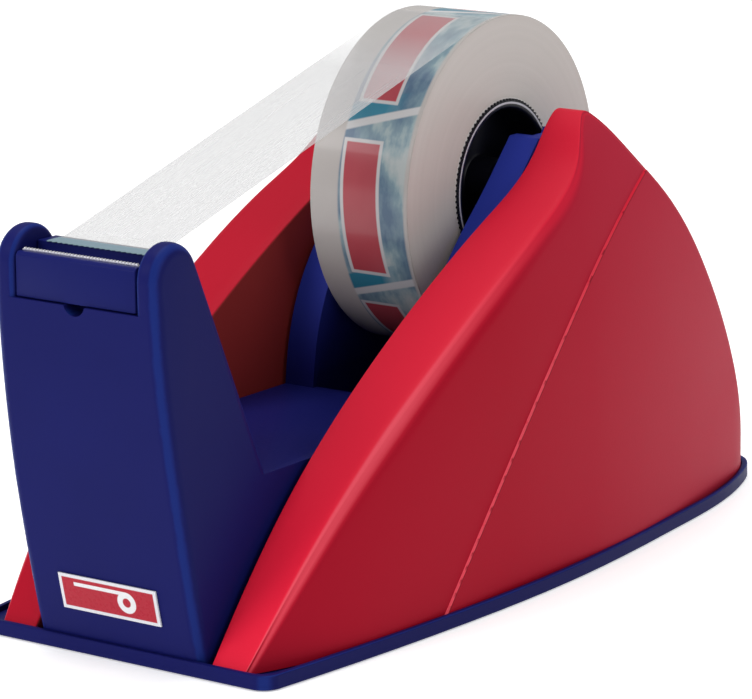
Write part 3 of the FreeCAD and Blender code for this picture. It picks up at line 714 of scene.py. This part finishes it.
def ring_of(name, unit, count, radius, finish, onto):
    """Copies of a small mesh round the roll's axis; onto turns the ring into place."""
    draft = bpy.data.objects.new(name + "_draft", unit)
    bpy.context.scene.collection.objects.link(draft)
    modifier = draft.modifiers.new("ring", "NODES")
    modifier.node_group = ring_nodes
    modifier[ring_inputs["Count"]] = count
    modifier[ring_inputs["Radius"]] = radius
    modifier[ring_inputs["Finish"]] = finish
    depsgraph = bpy.context.evaluated_depsgraph_get()
    final = bpy.data.meshes.new_from_object(draft.evaluated_get(depsgraph))
    bpy.data.objects.remove(draft)
    final.name = name
    final.transform(onto)
    return final


print("ring inputs", ring_inputs)

# %% [markdown]
# ## Hub
# The hub is two dark cups that meet inside the core. Each ends in a thin lip with
# fine grip teeth and a pale ring just inside it, which stands in for the light on the lip. The
# cups are turned shapes, so their outline is spun round the axis, and the teeth come from the
# ring of copies. The engineering model's hub has six holes in its disc, which are left out here.

# %% Turned shapes
def turned(name, outline, steps, sign):
    """Spin a closed outline of (x, radius) points, in millimetres, round the roll's axis."""
    mesh = bmesh.new()
    rings = []
    for x, radius in outline:
        ring = []
        for i in range(steps):
            angle = 2 * math.pi * i / steps
            ring.append(mesh.verts.new((sign * x * MM, axis_y + radius * MM * math.cos(angle),
                                        axis_z + radius * MM * math.sin(angle))))
        rings.append(ring)
    for ring, following in zip(rings, rings[1:] + rings[:1]):
        for i in range(steps):
            j = (i + 1) % steps
            mesh.faces.new((ring[i], ring[j], following[j], following[i]))
    bmesh.ops.recalc_face_normals(mesh, faces=mesh.faces)
    if mesh.calc_volume(signed=True) < 0:
        bmesh.ops.reverse_faces(mesh, faces=mesh.faces)
    data = bpy.data.meshes.new(name)
    mesh.to_mesh(data)
    mesh.free()
    return data


# %% Hub cups and their teeth
cup_outline = [(0.05, 2.4), (0.05, 12.75), (9.35, 12.85), (9.5, 13.0), (9.5, 13.72), (9.62, 13.78),
               (9.86, 13.72), (9.9, 13.6), (9.9, 12.75), (9.7, 12.5), (9.3, 12.35), (4.7, 12.1),
               (4.4, 11.8), (4.4, 4.6), (4.7, 4.2), (8.8, 4.0), (8.95, 3.8), (8.95, 2.4)]
rim_outline = [(9.89, 13.14), (9.93, 13.18), (9.94, 13.32), (9.93, 13.46), (9.89, 13.50), (9.85, 13.32)]
# The pale ring's finish is a painted highlight on the lip.
lip_highlight_finish = moulded("painted_lip_highlight", (0.42, 0.41, 0.46), 0.30, 0.01, 0.4)


def tooth_mesh():
    """One grip tooth: a small rounded wedge that points along X."""
    mesh = bpy.data.meshes.new("tooth")
    half, deep = 0.21 * MM, 0.20 * MM
    corners = [(-0.12 * MM, -half), (0.14 * MM, -half), (0.27 * MM, -0.4 * half),
               (0.27 * MM, 0.4 * half), (0.14 * MM, half), (-0.12 * MM, half)]
    verts = [(x, y, z) for z in (-deep, deep) for x, y in corners]
    faces = [(5, 4, 3, 2, 1, 0), (6, 7, 8, 9, 10, 11)]
    faces += [(i, (i + 1) % 6, 6 + (i + 1) % 6, 6 + i) for i in range(6)]
    mesh.from_pydata(verts, [], faces)
    return mesh


def joined(name, meshes):
    """Several meshes with their own materials as one."""
    whole = bmesh.new()
    for mesh in meshes:
        whole.from_mesh(mesh)
    data = bpy.data.meshes.new(name)
    whole.to_mesh(data)
    whole.free()
    return data


for side_name, sign in (("right", 1), ("left", -1)):
    cup = turned(side_name + "_cup", cup_outline, 96, sign)
    onto = Matrix.Translation((sign * 9.70 * MM, axis_y, axis_z)) @ Matrix.Rotation(math.pi / 2, 4, "Y")
    teeth = ring_of(side_name + "_teeth", tooth_mesh(), 96, 13.72 * MM, dark_hub, onto)
    cup_piece = add_piece(side_name + "_hub_cup", joined(side_name + "_hub_cup", [cup, teeth]), dark_hub)
    hand_over(cup_piece, "roll", "hub_plastic", side_name + "_hub_half")
    rim = add_piece(side_name + "_lip_highlight", turned(side_name + "_rim", rim_outline, 96, sign), lip_highlight_finish)
    hand_over(rim, "roll", "hub_plastic")

# %% [markdown]
# ## Wound film
# The side of a roll of clear film shows the edges of hundreds of turns: a warm grey with
# fine rings and some slightly darker bands. The pattern depends on
# the distance from the axis only, plus a faint cloudiness. The outermost turn is printed. Its print
# stops short of the edges, where the plain film shows.

# %% Wound film
def from_axis(graph):
    """Distance from the roll's axis and the angle round it."""
    x, y, z = graph.axes(graph.place())
    across = y - axis_y
    above = z - axis_z
    distance = (across * across + above * above).maths("POWER", 0.5)
    return x, distance, across.maths("ARCTAN2", above)


def wound_film():
    """Film edges: fine rings, broad bands and a slightly cloudy tone."""
    graph = Graph("wound_film", Roughness=0.36, Specular_IOR_Level=0.25, Coat_Weight=0.06)
    x, distance, angle = from_axis(graph)
    rings = graph.noise(graph.vector(distance * 9000.0, 0.0, 0.0), 1.0, 3.0)
    bands = graph.noise(graph.vector(distance * 900.0, 3.0, 0.0), 1.0, 2.0)
    cloud = graph.noise(graph.place(), 70.0, 3.0)
    warm = graph.blend(bands, (0.405, 0.375, 0.355, 1), (0.500, 0.468, 0.445, 1))
    tone = graph.blend((cloud * 0.5 + rings * 0.35).clamped(), warm, (0.46, 0.430, 0.410, 1))
    graph.set("Base Color", tone)
    graph.set("Roughness", 0.30 + rings * 0.14)
    graph.bump(rings, 0.05 * MM, 0.6)
    return graph.material


def printed_film():
    """Printed outer turn: watery teal and blue, six bordered red panels and pale diagonals."""
    graph = Graph("printed_film", Roughness=0.22, Specular_IOR_Level=0.3, Coat_Weight=0.15)
    x, distance, angle = from_axis(graph)
    along = angle * roll_radius
    broad = graph.noise(graph.vector(x * 130.0, along * 70.0, 0.0), 1.0, 2.0, 0.4)
    ripple = graph.noise(graph.vector(x * 520.0, along * 260.0, 4.0), 1.0, 3.0, 0.55)
    depth = broad * 0.7 + ripple * 0.3
    sky = graph.blend(depth.above(0.47, 0.16), (0.085, 0.150, 0.235, 1), (0.235, 0.345, 0.380, 1))
    sky = graph.blend(depth.above(0.57, 0.12), sky, (0.44, 0.485, 0.480, 1))
    panels = 6
    phase = 2.033
    share = (angle * (panels / (2 * math.pi)) + phase).maths("FRACT")
    repeat = 2 * math.pi / panels * roll_radius
    from_centre = (share - 0.5) * repeat
    across = x - 0.3 * MM + from_centre * 0.03
    soft = 0.2 * MM
    bordered = across.within(3.8 * MM, soft) * from_centre.within(11.4 * MM, soft)
    inside = across.within(3.2 * MM, soft) * from_centre.within(10.8 * MM, soft)
    from_gap = ((share + 0.5).maths("FRACT") - 0.5) * repeat - x * 0.30
    corner = (from_gap - 2.2 * MM).within(1.6 * MM, 0.3 * MM) * (1 - x.above(4.5 * MM, 4 * MM))
    sky = graph.blend(corner, sky, (0.035, 0.200, 0.290, 1))
    sky = graph.blend(from_gap.within(0.7 * MM, 0.3 * MM), sky, (0.56, 0.56, 0.56, 1))
    faded = graph.blend(broad, (0.36, 0.035, 0.055, 1), (0.46, 0.085, 0.100, 1))
    tone = graph.blend(bordered, sky, (0.55, 0.54, 0.54, 1))
    tone = graph.blend(inside, tone, faded)
    margin = (1 - x.above(-4.0 * MM, 0.4 * MM)).maths("MAXIMUM", x.above(8.8 * MM, 0.4 * MM))
    graph.set("Base Color", graph.blend(margin, tone, (0.46, 0.430, 0.410, 1)))
    graph.set("Roughness", 0.18 + ripple * 0.12)
    return graph.material


film_edges = wound_film()
print_film = printed_film()
print("roll finishes ready")

# %% [markdown]
# ## Clear film to the blade
# The free end runs straight from the top of the roll to the platform and stops at the blade. It is
# thin and clear with a milky sheen, so what is behind it stays visible, and it nearly vanishes
# where it nears the roll. The cut end is a fine zigzag like the blade's teeth. The strip is given
# a slight bow across its width.

# %% Clear film
def clear_film():
    """Milky clear film; fine lengthwise lines vary its gloss."""
    graph = Graph("clear_film", Roughness=0.10, Alpha=0.42, Specular_IOR_Level=0.3)
    x, y, z = graph.axes(graph.place())
    lines = graph.noise(graph.vector(x * 2600.0, y * 30.0, 0.0), 1.0, 2.0)
    at_end = 1 - y.above(front_y + 1.5 * MM, 0.6 * MM)
    over_roll = y.above(-1 * MM, 14 * MM)
    graph.set("Base Color", graph.blend(at_end, (0.555, 0.555, 0.560, 1), (0.20, 0.33, 0.40, 1)))
    graph.set("Alpha", 0.40 + lines * 0.04 + at_end * 0.34 - over_roll * 0.26)
    graph.set("Roughness", 0.08 + lines * 0.10)
    return graph.material


web_clear = clear_film()


def web_path():
    """Side view of the strip: flat on the platform, a straight run and a wrap onto the roll."""
    film_gap = 0.15
    radius = roll_radius / MM + film_gap
    table_y, table_z = (front_y / MM + 2.6, 64.03)
    run_y = axis_y / MM - table_y
    run_z = axis_z / MM - table_z
    climb = math.atan2(run_z, run_y) + math.asin(radius / math.hypot(run_y, run_z))
    points = [(table_y - 4.2 + 1.05 * i, table_z) for i in range(4)]
    touch = (axis_y / MM - math.sin(climb) * radius, axis_z / MM + math.cos(climb) * radius)
    for share in np.linspace(0, 1, 40):
        points.append((table_y + (touch[0] - table_y) * share, table_z + (touch[1] - table_z) * share))
    for turn in range(1, 10):
        angle = climb - math.radians(turn)
        points.append((axis_y / MM - math.sin(angle) * radius, axis_z / MM + math.cos(angle) * radius))
    return points


def web_mesh():
    """The strip with thickness, its zigzag end and a slight crown across its width."""
    path = web_path()
    columns = 38
    half = roll_half / MM - 0.03
    verts = []
    for level in (0.0, 0.09):
        for row, (y, z) in enumerate(path):
            crown = 0.035 * math.sin(math.pi * min(1.0, row / (len(path) - 10)))
            for k in range(columns + 1):
                x = -half + 2 * half * k / columns
                jag = (0.45 if k % 2 else 0.0) if row == 0 else 0.0
                lift = crown * (1 - (x / half) ** 2)
                verts.append((x * MM, (y - jag) * MM, (z + level * 0.8 + lift) * MM))
    rows_count, width = len(path), columns + 1
    faces = []

    def at(level, row, k):
        return level * rows_count * width + row * width + k

    for row in range(rows_count - 1):
        for k in range(columns):
            faces.append((at(1, row, k), at(1, row, k + 1), at(1, row + 1, k + 1), at(1, row + 1, k)))
            faces.append((at(0, row, k), at(0, row + 1, k), at(0, row + 1, k + 1), at(0, row, k + 1)))
    for row in range(rows_count - 1):
        for k, order in ((0, 1), (columns, -1)):
            ring = [at(0, row, k), at(1, row, k), at(1, row + 1, k), at(0, row + 1, k)]
            faces.append(tuple(ring[::order]))
    for k in range(columns):
        for row, order in ((0, -1), (rows_count - 1, 1)):
            ring = [at(0, row, k), at(1, row, k), at(1, row, k + 1), at(0, row, k + 1)]
            faces.append(tuple(ring[::order]))
    data = bpy.data.meshes.new("film_strip")
    data.from_pydata(verts, [], faces)
    mesh = bmesh.new()
    mesh.from_mesh(data)
    bmesh.ops.recalc_face_normals(mesh, faces=mesh.faces)
    mesh.to_mesh(data)
    mesh.free()
    return data


strip = add_piece("film_strip", web_mesh(), web_clear)
hand_over(strip, "axle_set", "clear_film", "tape_web")

# %% [markdown]
# ## Label
# The label low on the tower is a printed plate with a white border, a red field and a plain
# picture of a tape roll with its free end. It is a pattern of distances from a few centres,
# worked out in the material, so it stays crisp at any size.

# %% Label
def label_print():
    """White border, red field and a plain tape-roll picture."""
    graph = Graph("label_print", Roughness=0.3, Specular_IOR_Level=0.15, Coat_Weight=0.05)
    low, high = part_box("front_badge")
    x, y, z = graph.axes(graph.place())
    right_by = x * 1000.0
    up_by = (z - (low.z + high.z) / 2) * 1000.0
    field = right_by.within(8.75, 0.12) * up_by.within(2.38, 0.12)
    dx = right_by - 3.4
    distance = (dx * dx + up_by * up_by).maths("POWER", 0.5)
    ring = (1 - distance.above(1.75, 0.12)) * distance.above(0.75, 0.12)
    tail = (right_by + 1.6).within(4.9, 0.1) * (up_by - 1.45).within(0.3, 0.1)
    picture = ring.maths("MAXIMUM", tail)
    tone = graph.blend(field, (0.72, 0.72, 0.76, 1), (0.42, 0.014, 0.032, 1))
    grain = graph.noise(graph.place(), 1500.0, 2.0)
    tone = graph.blend(picture * field, tone, (0.78, 0.78, 0.80, 1))
    graph.set("Base Color", tone)
    graph.set("Roughness", 0.22 + grain * 0.12)
    return graph.material


label = label_print()

# %% [markdown]
# ## Finishes of the parts that keep their engineering shape
# The pin, screws, weights, liners, the blade, the roll's rings and the label keep their shape, so
# each only gets its finish. The pin and spacers share the hub's dark finish, which paints the shade
# deep inside the hub.

# %% Assign finishes
finish = {
    "anti_slip_pad": foam,
    "front_weight": iron, "rear_weight": iron, "right_fin_weight": iron, "left_fin_weight": iron,
    "cutter_blade": blade_steel, "axle": dark_hub, "body_screws": pin_steel, "fin_screws": pin_steel,
    # The dark pin and spacers paint the shade inside the hub.
    "left_axle_rest": liner, "right_axle_rest": liner, "left_spacer": dark_hub, "right_spacer": dark_hub,
    "tape_core": core_grey, "tape_winding": film_edges, "printed_wrap": print_film,
    "front_badge": label,
}
for name, material in finish.items():
    mesh = nodes[name].data
    mesh.materials.clear()
    mesh.materials.append(material)
print("finished", len(finish), "nodes")
